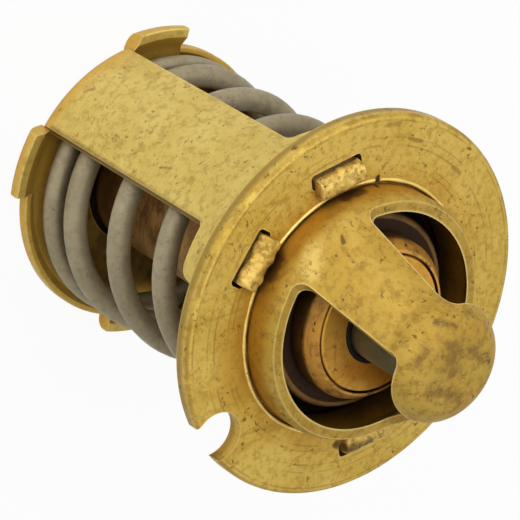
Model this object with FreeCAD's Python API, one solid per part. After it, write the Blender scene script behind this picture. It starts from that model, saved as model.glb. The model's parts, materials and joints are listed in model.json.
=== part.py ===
import FreeCAD, Part
import math
import os

# Wax engine valve with a pressed brass cage, a drawn bridge and a coil spring.
# Millimetres, +Z up through the nose of the bridge. The origin is on the axis, in the
# rear (seating) face of the flange. The two cage straps and the two bridge legs lie
# along X, the two bridge windows and the flange notch face Y.

V = FreeCAD.Vector
AXIS = V(0, 0, 1)
CENTRE = V(0, 0, 0)

# Clearances
RUNNING_FIT = 0.05
PIECE_GAP = 0.05
SPRING_GAP = 0.05
HOLE_TO_WALL_GAP = 0.25
CAGE_HOLE_CLEARANCE = 0.35
SLOT_SIDE_CLEARANCE = 0.35
SLOT_INNER_CLEARANCE = 0.1
SLOT_OUTER_CLEARANCE = 0.5

# Flange plate
FLANGE_RADIUS = 17.5
FLANGE_THICKNESS = 1.4
FLANGE_FRONT_EDGE = 0.45
FLANGE_HOLE_SHARE = 0.6543
FLANGE_HOLE_EDGE = 0.3
NOTCH_RADIUS = 2.35
NOTCH_INSET = 1.2
NOTCH_ANGLE = 89.0

# Bridge, drawn from one sheet
BRIDGE_SHEET = 0.75
BRIDGE_HEIGHT = 15.1
NOSE_RADIUS = 5.45
NOSE_CORNER_RADIUS = 2.5
NECK_RADIUS = 5.5
NECK_DROP = 3.2
NECK_FILLET = 2.0
SHOULDER_FLARE = 0.07
SHOULDER_HEIGHT = 3.93
SHOULDER_FILLET = 2.0
BRIDGE_FOLD_RADIUS = 0.25
BRIDGE_RING_WIDTH = 1.2
WINDOW_SILL = 4.5
WINDOW_CORNER_RADIUS = 1.1
WINDOW_TOP_DROP = 2.05
WINDOW_TOP_RISE = 0.45
WINDOW_TOP_HALF_CHORD = 3.9
WINDOW_NECK_RADIUS = 0.8
LEG_HALF_WIDTH_AT_AXIS = 2.6
LEG_TAPER = 0.13

# Cage, folded from one sheet
CAGE_SHEET = 0.85
CAGE_BOTTOM = -29.9
CAGE_BEND_RADIUS = 1.1
CAGE_EDGE_ROUND = 0.15
STRAP_HALF_WIDTH = 5.15
STRAP_LEAN = 0.35
FOOT_HALF_WIDTH = 9.3
FOOT_BOTTOM = -5.4
FOOT_INSIDE_CORNER = 0.6
FOOT_OUTSIDE_CORNER = 0.9
FOOT_TO_TAB_STEP = 0.15
RIM_HEIGHT = 1.2
RIM_INSET = 0.6
RIM_DRAWN_IN = 0.45
RIM_EDGE_WIDTH = 0.5
RIM_SLOPE_WIDTH = 0.6
RIM_FOOT_RADIUS = 0.3
EAR_HEIGHT = 1.75
EAR_REACH = 1.45
EAR_END_ANGLE = 50.0
EAR_START_SLANT = 4.0
EAR_SLOPE_WIDTH = 1.45
EAR_SLOPE_FILLET = 2.0

# Tabs that pass through the flange and are folded over its front
TAB_ANGLE = 24.0
TAB_WIDTH = 4.6
TAB_REACH_PAST_HOLE = 2.3
TAB_END_TO_HOLE = 0.65
TAB_FOLD_RADIUS = 0.75
TAB_END_ROUND = 0.2
TAB_ROOT_DEPTH = 1.5
SLOT_CORNER_RADIUS = 0.4

# One tab and one ear, both on the -Y side of the +X strap, stand this many degrees
# nearer to the middle of the strap than the others do.
CAGE_SKEW = 3.0

# Spring
WIRE_RADIUS = 1.05
COIL_START_ANGLE = 40.0
COIL_START = -0.42
COIL_END = 4.55
POINTS_PER_TURN = 12

# Valve plate
PLATE_SHEET = 0.8
PLATE_INSET = 0.45
PLATE_SHOULDER_SHARE = 0.6
PLATE_CONE_TOP_SHARE = 0.785
PLATE_CONE_TOP_HEIGHT = 0.2
PLATE_CONE_INSET = 1.0
PLATE_SHOULDER_FILLET = 0.5
PLATE_CONE_FILLET = 0.8
PLATE_FOOT_FILLET = 0.3

# Wax element
CAPSULE_RADIUS = 6.9
CAPSULE_WALL = 0.9
CAPSULE_TAIL_RADIUS = 5.85
CAPSULE_END_HEIGHT = 0.3
CAPSULE_STEP_TOP = -6.0
CAPSULE_STEP_HEIGHT = 2.0
CAPSULE_STEP_FILLET = 1.2
CAPSULE_CORNER_RADIUS = 1.5
COLLAR_WIDTH = 0.48
COLLAR_BOTTOM = 2.2
COLLAR_TOP = 5.0
COLLAR_EDGE_HEIGHT = 3.9
COLLAR_EDGE_FILLET = 0.5
COLLAR_WALL = 0.78
LIP_REACH = 0.18
LIP_UNDERSIDE = 4.3
SMALL_ROUND = 0.2
ELEMENT_SEAT = 2.3
BOOT_FLANGE = 0.8
WASHER_THICKNESS = 0.3
HEAD_BOSS_GAP = 0.2
WIPER_WIDTH = 0.4
WIPER_BOTTOM = 4.3
WIPER_RISE = 0.15
WIPER_ROUND = 0.1
ROD_RADIUS = 3.15
ROD_BOTTOM = -12.4
ROD_CHAMFER = 0.4
BOOT_WALL = 1.1
BOOT_FLOOR = 1.0
BOOT_CORNER_RADIUS = 0.8

# Radii that follow from the flange, from its hole outwards
FLANGE_HOLE_RADIUS = FLANGE_RADIUS * FLANGE_HOLE_SHARE
NOTCH_CENTRE_RADIUS = FLANGE_RADIUS - NOTCH_INSET
TAB_OUTER_PLANE = FLANGE_HOLE_RADIUS + TAB_REACH_PAST_HOLE
TAB_INNER_PLANE = TAB_OUTER_PLANE - CAGE_SHEET
TAB_INNER_END = FLANGE_HOLE_RADIUS + TAB_END_TO_HOLE
CAGE_FRONT_RADIUS = TAB_OUTER_PLANE + FOOT_TO_TAB_STEP
CAGE_BASE_RADIUS = CAGE_FRONT_RADIUS - STRAP_LEAN
RIM_RADIUS = CAGE_FRONT_RADIUS - RIM_INSET
EAR_RADIUS = RIM_RADIUS + EAR_REACH
EAR_SLOPE_FOOT = EAR_RADIUS - CAGE_SHEET - EAR_SLOPE_WIDTH
COIL_RADIUS = RIM_RADIUS - CAGE_SHEET - SPRING_GAP - WIRE_RADIUS

# Radii that follow from the flange, from its hole inwards
BRIDGE_WALL_RADIUS = FLANGE_HOLE_RADIUS - HOLE_TO_WALL_GAP
SHOULDER_RADIUS = BRIDGE_WALL_RADIUS + SHOULDER_FLARE
BRIDGE_RING_RADIUS = BRIDGE_WALL_RADIUS + BRIDGE_RING_WIDTH
PLATE_RADIUS = BRIDGE_RING_RADIUS - PLATE_INSET
PLATE_BORE_RADIUS = CAPSULE_RADIUS + PIECE_GAP
PLATE_CONE_FOOT_RADIUS = BRIDGE_WALL_RADIUS - PLATE_CONE_INSET
PLATE_SLOPE_WIDTH = PLATE_CONE_FOOT_RADIUS - PLATE_BORE_RADIUS
PLATE_SHOULDER_RADIUS = PLATE_BORE_RADIUS + PLATE_SLOPE_WIDTH * PLATE_SHOULDER_SHARE
PLATE_CONE_TOP_RADIUS = PLATE_BORE_RADIUS + PLATE_SLOPE_WIDTH * PLATE_CONE_TOP_SHARE

# Radii of the wax element
CAGE_HOLE_RADIUS = CAPSULE_TAIL_RADIUS + CAGE_HOLE_CLEARANCE
COLLAR_RADIUS = CAPSULE_RADIUS + COLLAR_WIDTH
COLLAR_BORE_RADIUS = COLLAR_RADIUS - COLLAR_WALL
LIP_BORE_RADIUS = COLLAR_BORE_RADIUS - LIP_REACH
HEAD_BOSS_RADIUS = LIP_BORE_RADIUS - HEAD_BOSS_GAP
BORE_RADIUS = ROD_RADIUS + RUNNING_FIT
WIPER_RADIUS = BORE_RADIUS + WIPER_WIDTH
BOOT_RADIUS = BORE_RADIUS + BOOT_WALL

# Heights that follow
NECK_HEIGHT = BRIDGE_HEIGHT - NECK_DROP
WINDOW_TOP = BRIDGE_HEIGHT - WINDOW_TOP_DROP
ROD_TOP = BRIDGE_HEIGHT - BRIDGE_SHEET
HEAD_TOP = COLLAR_TOP
WIPER_TOP = HEAD_TOP + WIPER_RISE
FLOOR_TOP = CAGE_BOTTOM + CAGE_SHEET
CAPSULE_BOTTOM = CAGE_BOTTOM + CAPSULE_END_HEIGHT
PLATE_SEAT = -BRIDGE_SHEET
SPRING_TOP = PLATE_SEAT - PLATE_SHEET
BOOT_BOTTOM = ROD_BOTTOM - PIECE_GAP - BOOT_FLOOR

# Turns of the spring from its start angle, with the share of the way up reached there.
# The bottom coil lies on the cage floor, the top one against the valve plate.
COIL_STATIONS = [(COIL_START, 0.0), (0.5, 0.072), (1.0, 0.151), (3.0, 0.681), (4.1, 1.0), (COIL_END, 1.0)]


def line(start, end):
    """Straight edge between two points."""
    return Part.makeLine(start, end)


def corner_arc(before, corner, after, radius):
    """Arc of one radius that rounds the corner between two runs."""
    towards_start = before - corner
    towards_start.normalize()
    towards_end = after - corner
    towards_end.normalize()
    half_angle = towards_start.getAngle(towards_end) / 2
    reach = radius / math.tan(half_angle)
    bisector = towards_start + towards_end
    bisector.normalize()
    start = corner + towards_start * reach
    middle = corner + bisector * (radius / math.sin(half_angle) - radius)
    end = corner + towards_end * reach
    return Part.Arc(start, middle, end)


def rounded_path(points, radii):
    """Edges of an open path; radii holds one fillet radius for each inner point."""
    edges = []
    start = points[0]
    for index, radius in enumerate(radii):
        corner = points[index + 1]
        if radius > 0:
            arc = corner_arc(points[index], corner, points[index + 2], radius)
            edges.append(line(start, arc.StartPoint))
            edges.append(arc.toShape())
            start = arc.EndPoint
        else:
            edges.append(line(start, corner))
            start = corner
    edges.append(line(start, points[-1]))
    return edges


def closed_outline(corners):
    """Closed wire through (point, fillet radius) corners."""
    points = [corner[0] for corner in corners]
    radii = [corner[1] for corner in corners]
    middle = (points[0] + points[-1]) * 0.5
    path = [middle] + points + [middle]
    return Part.Wire(rounded_path(path, radii))


def right_of(start, end):
    """Unit vector to the right of a run in the XZ plane."""
    run = end - start
    run.normalize()
    return V(run.z, 0, -run.x)


def meeting_point(start_a, way_a, start_b, way_b):
    """Point where two lines in the XZ plane cross."""
    cross = way_a.x * way_b.z - way_a.z * way_b.x
    gap = start_b - start_a
    along = (gap.x * way_b.z - gap.z * way_b.x) / cross
    return start_a + way_a * along


def offset_path(points, radii, gap):
    """The same path moved to its right by gap, with its fillet radii to match."""
    moved = [points[0] + right_of(points[0], points[1]) * gap]
    moved_radii = []
    for index, radius in enumerate(radii):
        before, corner, after = points[index:index + 3]
        way_in = corner - before
        way_out = after - corner
        start_in = before + right_of(before, corner) * gap
        start_out = corner + right_of(corner, after) * gap
        moved.append(meeting_point(start_in, way_in, start_out, way_out))
        turns_left = way_in.x * way_out.z - way_in.z * way_out.x > 0
        moved_radii.append(radius + gap if turns_left else max(radius - gap, 0))
    moved.append(points[-1] + right_of(points[-2], points[-1]) * gap)
    return moved, moved_radii


def sheet_ring(profile, radii, thickness):
    """Turned sheet: profile holds (radius, height) points along one of its faces.

    The other face lies to the right of the profile, one sheet thickness away.
    """
    points = [V(radius, 0, height) for radius, height in profile]
    far_points, far_radii = offset_path(points, radii, thickness)
    edges = rounded_path(points, radii)
    edges.append(line(points[-1], far_points[-1]))
    edges.extend(rounded_path(far_points[::-1], far_radii[::-1]))
    edges.append(line(far_points[0], points[0]))
    return turned(Part.Wire(Part.__sortEdges__(edges)))


def turned(wire):
    """Solid of revolution from a closed wire in the XZ plane."""
    return Part.Face(wire).revolve(CENTRE, AXIS, 360)


def turned_section(corners):
    """Solid of revolution from (radius, height, fillet) corners."""
    outline = [(V(radius, 0, height), fillet) for radius, height, fillet in corners]
    return turned(closed_outline(outline))


def cylinder(radius, bottom, top, centre=CENTRE):
    """Upright cylinder between two heights."""
    return Part.makeCylinder(radius, top - bottom, V(centre.x, centre.y, bottom), AXIS)


def prism(corners, bottom, top):
    """Upright prism from (x, y, fillet) corners."""
    outline = closed_outline([(V(x, y, bottom), fillet) for x, y, fillet in corners])
    return Part.Face(outline).extrude(V(0, 0, top - bottom))


def turned_about_axis(shape, angle):
    """Copy of a shape turned about the part's axis by an angle in degrees."""
    copy = shape.copy()
    copy.rotate(CENTRE, AXIS, angle)
    return copy


def tab_angles():
    """Centre angles of the four tabs and of their slots."""
    angles = [side + sign * TAB_ANGLE for side in (0, 180) for sign in (-1, 1)]
    angles[0] += CAGE_SKEW
    return angles


def flange_slot():
    """Cutter for one slot, made at angle zero."""
    half_length = TAB_WIDTH / 2 + SLOT_SIDE_CLEARANCE
    inner = TAB_INNER_PLANE - SLOT_INNER_CLEARANCE
    outer = TAB_OUTER_PLANE + SLOT_OUTER_CLEARANCE
    corners = [
        (inner, -half_length, SLOT_CORNER_RADIUS),
        (outer, -half_length, SLOT_CORNER_RADIUS),
        (outer, half_length, SLOT_CORNER_RADIUS),
        (inner, half_length, SLOT_CORNER_RADIUS),
    ]
    return prism(corners, -FLANGE_THICKNESS, 2 * FLANGE_THICKNESS)


def flange_plate():
    """Round stamped plate with its hole, notch and four slots."""
    plate = turned_section([
        (FLANGE_HOLE_RADIUS, 0, 0),
        (FLANGE_RADIUS, 0, 0),
        (FLANGE_RADIUS, FLANGE_THICKNESS, FLANGE_FRONT_EDGE),
        (FLANGE_HOLE_RADIUS, FLANGE_THICKNESS, FLANGE_HOLE_EDGE),
    ])
    notch_way = math.radians(NOTCH_ANGLE)
    notch_centre = V(math.cos(notch_way), math.sin(notch_way), 0) * NOTCH_CENTRE_RADIUS
    cutters = [cylinder(NOTCH_RADIUS, -FLANGE_THICKNESS, 2 * FLANGE_THICKNESS, notch_centre)]
    for angle in tab_angles():
        cutters.append(turned_about_axis(flange_slot(), angle))
    return plate.cut(cutters)


def bridge_leg_edge(x):
    """Half width of the bridge leg at a distance x from the axis."""
    return LEG_HALF_WIDTH_AT_AXIS + LEG_TAPER * x


def on_leg_edge(edge):
    """True for an edge of the window cutter that lies in its sides along the legs."""
    points = [vertex.Point for vertex in edge.Vertexes]
    return all(point.y < bridge_leg_edge(abs(point.x)) + 0.1 for point in points)


def bridge_window():
    """Cutter for the window on the +Y side.

    Its top is a shallow arc under the nose, its sill is level, and its corners beside
    the legs are rounded.
    """
    far = BRIDGE_RING_RADIUS
    rise = WINDOW_TOP_RISE
    top_radius = (WINDOW_TOP_HALF_CHORD ** 2 + rise ** 2) / (2 * rise)
    block = prism([
        (0, LEG_HALF_WIDTH_AT_AXIS, NOSE_CORNER_RADIUS),
        (far, bridge_leg_edge(far), 0),
        (far, far, 0),
        (-far, far, 0),
        (-far, bridge_leg_edge(far), 0),
    ], WINDOW_SILL, WINDOW_TOP + top_radius)
    block = block.cut(
        Part.makeCylinder(top_radius, far, V(0, 0, WINDOW_TOP + top_radius), V(0, 1, 0)))
    sides = [edge for edge in block.Edges if on_leg_edge(edge)]
    sill = [edge for edge in sides if edge.BoundBox.ZMax < WINDOW_SILL + 0.01]
    block = block.makeFillet(WINDOW_CORNER_RADIUS, sill)
    sides = [edge for edge in block.Edges if on_leg_edge(edge)]
    top = [edge for edge in sides if edge.BoundBox.ZMin > WINDOW_TOP - 0.01]
    return block.makeFillet(WINDOW_NECK_RADIUS, top)


def bridge():
    """Drawn bridge: round nose, two legs, wall and the ring under the flange."""
    profile = [
        (0, BRIDGE_HEIGHT),
        (NOSE_RADIUS, BRIDGE_HEIGHT),
        (NECK_RADIUS, NECK_HEIGHT),
        (SHOULDER_RADIUS, SHOULDER_HEIGHT),
        (BRIDGE_WALL_RADIUS, 0),
        (BRIDGE_RING_RADIUS, 0),
    ]
    radii = [NOSE_CORNER_RADIUS, NECK_FILLET, SHOULDER_FILLET, BRIDGE_FOLD_RADIUS]
    dome = sheet_ring(profile, radii, BRIDGE_SHEET)
    window = bridge_window()
    return dome.cut([window, turned_about_axis(window, 180)])


def cage_strap_outline():
    """Elevation of one strap with its wide foot, as a prism along X."""
    low = CAGE_BOTTOM - CAGE_SHEET
    half = [
        (STRAP_HALF_WIDTH, low, 0),
        (STRAP_HALF_WIDTH, FOOT_BOTTOM, FOOT_INSIDE_CORNER),
        (FOOT_HALF_WIDTH, FOOT_BOTTOM, FOOT_OUTSIDE_CORNER),
        (FOOT_HALF_WIDTH, 0, 0),
    ]
    other_half = [(-y, z, fillet) for y, z, fillet in reversed(half)]
    reach = FLANGE_RADIUS
    outline = closed_outline([(V(-reach, y, z), fillet) for y, z, fillet in half + other_half])
    return Part.Face(outline).extrude(V(2 * reach, 0, 0))


def polar(radius, angle):
    """Plan (x, y) of a point at a radius and an angle in degrees."""
    way = math.radians(angle)
    return radius * math.cos(way), radius * math.sin(way)


def sector(points):
    """Wedge through the cage floor, from the axis out to (radius, angle) points."""
    corners = [(0, 0, 0)] + [polar(radius, angle) + (0,) for radius, angle in points]
    return prism(corners, CAGE_BOTTOM - CAGE_SHEET, FLOOR_TOP + EAR_HEIGHT)


def cage_ear(end_angle):
    """Turned up ear from the +Y side of the +X strap round to an angle."""
    top = CAGE_BOTTOM + EAR_HEIGHT
    ring = turned_section([
        (CAGE_HOLE_RADIUS, CAGE_BOTTOM, 0),
        (EAR_RADIUS, CAGE_BOTTOM, CAGE_BEND_RADIUS),
        (EAR_RADIUS, top, CAGE_EDGE_ROUND),
        (EAR_RADIUS - CAGE_SHEET, top, CAGE_EDGE_ROUND),
        (EAR_SLOPE_FOOT, FLOOR_TOP, EAR_SLOPE_FILLET),
        (CAGE_HOLE_RADIUS, FLOOR_TOP, 0),
    ])
    start = math.degrees(math.asin(STRAP_HALF_WIDTH / RIM_RADIUS))
    reach = 2 * FLANGE_RADIUS
    return ring.common(sector([
        (RIM_RADIUS, start),
        (EAR_RADIUS, start + EAR_START_SLANT),
        (reach, start + EAR_START_SLANT),
        (reach, end_angle),
    ]))


def cage_rim(radius, start, end):
    """Low rim of the floor between the ears of one side."""
    top = CAGE_BOTTOM + RIM_HEIGHT
    ring = turned_section([
        (CAGE_HOLE_RADIUS, CAGE_BOTTOM, 0),
        (radius, CAGE_BOTTOM, RIM_FOOT_RADIUS),
        (radius, top, CAGE_EDGE_ROUND),
        (radius - RIM_EDGE_WIDTH, top, CAGE_EDGE_ROUND),
        (radius - RIM_EDGE_WIDTH - RIM_SLOPE_WIDTH, FLOOR_TOP, 0),
        (CAGE_HOLE_RADIUS, FLOOR_TOP, 0),
    ])
    reach = 2 * FLANGE_RADIUS
    return ring.common(sector([(reach, start), (reach, end)]))


def cage_tab():
    """One tab, made at angle zero, with its folded end."""
    top = FLANGE_THICKNESS + CAGE_SHEET
    corners = [
        (TAB_OUTER_PLANE, -TAB_ROOT_DEPTH, 0),
        (TAB_OUTER_PLANE, top, TAB_FOLD_RADIUS),
        (TAB_INNER_END, top, TAB_END_ROUND),
        (TAB_INNER_END, FLANGE_THICKNESS, 0),
        (TAB_INNER_PLANE, FLANGE_THICKNESS, 0),
        (TAB_INNER_PLANE, -TAB_ROOT_DEPTH, 0),
    ]
    outline = closed_outline([(V(x, -TAB_WIDTH / 2, z), fillet) for x, z, fillet in corners])
    return Part.Face(outline).extrude(V(0, TAB_WIDTH, 0))


def cage():
    """Cage: holed floor with rims and ears, two straps, their feet and four folded tabs."""
    profile = [
        (CAGE_FRONT_RADIUS, 0),
        (CAGE_BASE_RADIUS, CAGE_BOTTOM),
        (CAGE_HOLE_RADIUS, CAGE_BOTTOM),
    ]
    cup = sheet_ring(profile, [CAGE_BEND_RADIUS], CAGE_SHEET)
    straps = cup.common(cage_strap_outline())
    floor_radius = EAR_SLOPE_FOOT - EAR_SLOPE_WIDTH / 2
    floor = cylinder(floor_radius, CAGE_BOTTOM, FLOOR_TOP)
    hole = cylinder(CAGE_HOLE_RADIUS, CAGE_BOTTOM - CAGE_SHEET, FLOOR_TOP + CAGE_SHEET)
    ear = cage_ear(EAR_END_ANGLE)
    skewed_ear = cage_ear(EAR_END_ANGLE - CAGE_SKEW)
    pieces = [
        floor.cut(hole),
        cage_rim(RIM_RADIUS, EAR_END_ANGLE, 180 - EAR_END_ANGLE),
        cage_rim(RIM_RADIUS - RIM_DRAWN_IN, 180 + EAR_END_ANGLE, 360 - EAR_END_ANGLE + CAGE_SKEW),
        ear,
        ear.mirror(CENTRE, V(1, 0, 0)),
        turned_about_axis(ear, 180),
        skewed_ear.mirror(CENTRE, V(0, 1, 0)),
    ]
    for angle in tab_angles():
        pieces.append(turned_about_axis(cage_tab(), angle))
    return straps.fuse(pieces).removeSplitter()


def coil_height(turns):
    """Height of the wire's centre after a number of turns from the start angle."""
    bottom = FLOOR_TOP + SPRING_GAP + WIRE_RADIUS
    top = SPRING_TOP - SPRING_GAP - WIRE_RADIUS
    for (low, low_share), (high, high_share) in zip(COIL_STATIONS, COIL_STATIONS[1:]):
        if turns <= high:
            share = low_share + (high_share - low_share) * (turns - low) / (high - low)
            return bottom + (top - bottom) * share
    return top


def coil_point(turns):
    """Centre of the wire after a number of turns."""
    angle = math.radians(COIL_START_ANGLE + 360 * turns)
    return V(COIL_RADIUS * math.cos(angle), COIL_RADIUS * math.sin(angle), coil_height(turns))


def spring():
    """Round wire coil, swept along a smooth curve through points on its path."""
    count = math.ceil((COIL_END - COIL_START) * POINTS_PER_TURN)
    step = (COIL_END - COIL_START) / count
    path = Part.BSplineCurve()
    path.interpolate([coil_point(COIL_START + index * step) for index in range(count + 1)])
    way = path.tangent(path.FirstParameter)[0]
    section = Part.Wire([Part.makeCircle(WIRE_RADIUS, coil_point(COIL_START), way)])
    return Part.Wire([path.toShape()]).makePipeShell([section], True, True)


def valve_plate():
    """Drawn valve plate that closes on the ring of the bridge."""
    profile = [
        (PLATE_BORE_RADIUS, COLLAR_BOTTOM),
        (PLATE_SHOULDER_RADIUS, COLLAR_BOTTOM),
        (PLATE_CONE_TOP_RADIUS, PLATE_CONE_TOP_HEIGHT),
        (PLATE_CONE_FOOT_RADIUS, PLATE_SEAT),
        (PLATE_RADIUS, PLATE_SEAT),
    ]
    radii = [PLATE_SHOULDER_FILLET, PLATE_CONE_FILLET, PLATE_FOOT_FILLET]
    return sheet_ring(profile, radii, PLATE_SHEET)


def capsule_outside():
    """Outer profile of the cup from its collar down to its end, with its fillet radii."""
    profile = [
        (CAPSULE_RADIUS, COLLAR_BOTTOM),
        (CAPSULE_RADIUS, CAPSULE_STEP_TOP),
        (CAPSULE_TAIL_RADIUS, CAPSULE_STEP_TOP - CAPSULE_STEP_HEIGHT),
        (CAPSULE_TAIL_RADIUS, CAPSULE_BOTTOM),
        (0, CAPSULE_BOTTOM),
    ]
    return profile, [CAPSULE_STEP_FILLET, CAPSULE_STEP_FILLET, CAPSULE_CORNER_RADIUS]


def capsule_cup():
    """Stepped cup of the wax element, with its collar crimped over the head."""
    profile, radii = capsule_outside()
    cup = sheet_ring(profile, radii, CAPSULE_WALL)
    inside = CAPSULE_RADIUS - CAPSULE_WALL
    collar = turned_section([
        (inside, COLLAR_BOTTOM, 0),
        (COLLAR_RADIUS, COLLAR_BOTTOM, SMALL_ROUND),
        (COLLAR_RADIUS, COLLAR_EDGE_HEIGHT, COLLAR_EDGE_FILLET),
        (LIP_BORE_RADIUS + SMALL_ROUND, COLLAR_TOP, SMALL_ROUND),
        (LIP_BORE_RADIUS, COLLAR_TOP, 0),
        (LIP_BORE_RADIUS, LIP_UNDERSIDE, 0),
        (COLLAR_BORE_RADIUS, LIP_UNDERSIDE, 0),
        (COLLAR_BORE_RADIUS, ELEMENT_SEAT, 0),
        (inside, ELEMENT_SEAT, 0),
    ])
    return cup.fuse(collar).removeSplitter()


def element_head():
    """Head of the wax element: the guide of the rod, with a seat for the wiper."""
    bottom = ELEMENT_SEAT + BOOT_FLANGE + WASHER_THICKNESS
    return turned_section([
        (BORE_RADIUS, bottom, 0),
        (COLLAR_BORE_RADIUS - PIECE_GAP, bottom, 0),
        (COLLAR_BORE_RADIUS - PIECE_GAP, LIP_UNDERSIDE, 0),
        (HEAD_BOSS_RADIUS, LIP_UNDERSIDE, 0),
        (HEAD_BOSS_RADIUS, HEAD_TOP, SMALL_ROUND),
        (WIPER_RADIUS + PIECE_GAP, HEAD_TOP, 0),
        (WIPER_RADIUS + PIECE_GAP, WIPER_BOTTOM, 0),
        (BORE_RADIUS, WIPER_BOTTOM, 0),
    ])


def rod():
    """Polished rod between the nose of the bridge and the wax element."""
    return turned_section([
        (0, ROD_BOTTOM, 0),
        (ROD_RADIUS - ROD_CHAMFER, ROD_BOTTOM, 0),
        (ROD_RADIUS, ROD_BOTTOM + ROD_CHAMFER, 0),
        (ROD_RADIUS, ROD_TOP - ROD_CHAMFER, 0),
        (ROD_RADIUS - ROD_CHAMFER, ROD_TOP, 0),
        (0, ROD_TOP, 0),
    ])


def rod_wiper():
    """Soft ring that keeps dirt out of the bore."""
    return turned_section([
        (BORE_RADIUS, WIPER_BOTTOM, 0),
        (WIPER_RADIUS, WIPER_BOTTOM, 0),
        (WIPER_RADIUS, WIPER_TOP, WIPER_ROUND),
        (BORE_RADIUS, WIPER_TOP, WIPER_ROUND),
    ])


def rubber_boot():
    """Closed rubber sleeve that the wax squeezes against the rod."""
    top = ELEMENT_SEAT + BOOT_FLANGE
    return turned_section([
        (0, BOOT_BOTTOM, 0),
        (BOOT_RADIUS, BOOT_BOTTOM, BOOT_CORNER_RADIUS),
        (BOOT_RADIUS, ELEMENT_SEAT, 0),
        (COLLAR_BORE_RADIUS - PIECE_GAP, ELEMENT_SEAT, 0),
        (COLLAR_BORE_RADIUS - PIECE_GAP, top, 0),
        (BORE_RADIUS, top, 0),
        (BORE_RADIUS, BOOT_BOTTOM + BOOT_FLOOR, 0),
        (0, BOOT_BOTTOM + BOOT_FLOOR, 0),
    ])


def chafe_washer():
    """Thin washer between the boot and the head."""
    bottom = ELEMENT_SEAT + BOOT_FLANGE
    return turned_section([
        (BORE_RADIUS, bottom, 0),
        (COLLAR_BORE_RADIUS - PIECE_GAP, bottom, 0),
        (COLLAR_BORE_RADIUS - PIECE_GAP, bottom + WASHER_THICKNESS, 0),
        (BORE_RADIUS, bottom + WASHER_THICKNESS, 0),
    ])


def wax_charge():
    """Wax that fills the stepped cup round the boot."""
    profile, radii = capsule_outside()
    outside = [V(radius, 0, height) for radius, height in profile]
    inside, inside_radii = offset_path(outside, radii, CAPSULE_WALL + PIECE_GAP)
    boot_side = BOOT_RADIUS + PIECE_GAP
    boot_end = BOOT_BOTTOM - PIECE_GAP
    hollow = [V(0, 0, boot_end), V(boot_side, 0, boot_end), V(boot_side, 0, COLLAR_BOTTOM)]
    edges = rounded_path(inside, inside_radii)
    edges.extend(rounded_path([inside[-1]] + hollow + [inside[0]], [0, 0, 0]))
    return turned(Part.Wire(Part.__sortEdges__(edges)))


PARTS = {
    "flange_plate": flange_plate,
    "bridge": bridge,
    "cage": cage,
    "spring": spring,
    "valve_plate": valve_plate,
    "capsule_cup": capsule_cup,
    "element_head": element_head,
    "rod": rod,
    "rod_wiper": rod_wiper,
    "rubber_boot": rubber_boot,
    "chafe_washer": chafe_washer,
    "wax_charge": wax_charge,
}

os.makedirs("parts", exist_ok=True)
for name, make in PARTS.items():
    shape = make()
    shape.exportStep("parts/" + name + ".step")
    box = shape.BoundBox
    print(name, "solids", len(shape.Solids), "valid", shape.isValid(),
          "volume", round(shape.Volume, 1),
          "z", round(box.ZMin, 2), round(box.ZMax, 2))
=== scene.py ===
"""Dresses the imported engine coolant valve: brass pressings, coil spring and wax capsule.

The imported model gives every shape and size. This script gives the finishes, the studio and
the camera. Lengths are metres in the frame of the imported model, with +Z through the nose,
except in marks and in the fields of sub-assemblies, which are millimetres.
"""

from __future__ import annotations

import json
import logging
import math
from collections.abc import Callable
from dataclasses import dataclass
from enum import Enum

import bmesh
import bpy
from mathutils import Matrix, Vector, noise

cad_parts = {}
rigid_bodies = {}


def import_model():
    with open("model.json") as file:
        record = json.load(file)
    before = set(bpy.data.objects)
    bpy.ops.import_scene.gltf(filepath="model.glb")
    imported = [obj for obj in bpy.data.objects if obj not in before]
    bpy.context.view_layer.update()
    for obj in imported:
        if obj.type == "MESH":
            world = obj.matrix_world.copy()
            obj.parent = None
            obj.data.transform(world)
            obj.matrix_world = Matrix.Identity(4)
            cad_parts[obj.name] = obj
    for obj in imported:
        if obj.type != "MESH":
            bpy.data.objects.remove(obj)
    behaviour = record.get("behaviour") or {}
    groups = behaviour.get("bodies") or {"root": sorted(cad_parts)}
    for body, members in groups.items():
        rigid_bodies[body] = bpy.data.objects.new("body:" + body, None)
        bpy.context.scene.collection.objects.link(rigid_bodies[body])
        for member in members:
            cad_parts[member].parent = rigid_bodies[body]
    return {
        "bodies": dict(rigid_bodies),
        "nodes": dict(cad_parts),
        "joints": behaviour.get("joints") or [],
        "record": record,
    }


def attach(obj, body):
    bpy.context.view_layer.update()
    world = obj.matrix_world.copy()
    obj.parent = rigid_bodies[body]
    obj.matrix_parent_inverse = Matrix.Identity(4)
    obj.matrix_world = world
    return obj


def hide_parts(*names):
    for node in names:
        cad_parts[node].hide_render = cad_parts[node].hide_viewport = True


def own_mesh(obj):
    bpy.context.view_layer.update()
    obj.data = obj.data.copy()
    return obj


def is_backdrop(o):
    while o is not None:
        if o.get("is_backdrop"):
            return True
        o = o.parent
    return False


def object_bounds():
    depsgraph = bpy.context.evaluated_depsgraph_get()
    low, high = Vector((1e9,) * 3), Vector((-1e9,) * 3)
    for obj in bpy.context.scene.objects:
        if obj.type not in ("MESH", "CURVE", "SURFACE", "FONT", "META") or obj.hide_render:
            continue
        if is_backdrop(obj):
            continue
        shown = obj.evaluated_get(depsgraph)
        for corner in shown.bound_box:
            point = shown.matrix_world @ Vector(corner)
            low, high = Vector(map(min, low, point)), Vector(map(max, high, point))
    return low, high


LOG = logging.getLogger("coolant_valve")
MM = 0.001
HOUSING = "housing"

Rgb = tuple[float, float, float]
Point = tuple[float, float, float]
Section = list[tuple[float, float]]
Socket = bpy.types.NodeSocket
Tree = bpy.types.NodeTree


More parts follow.
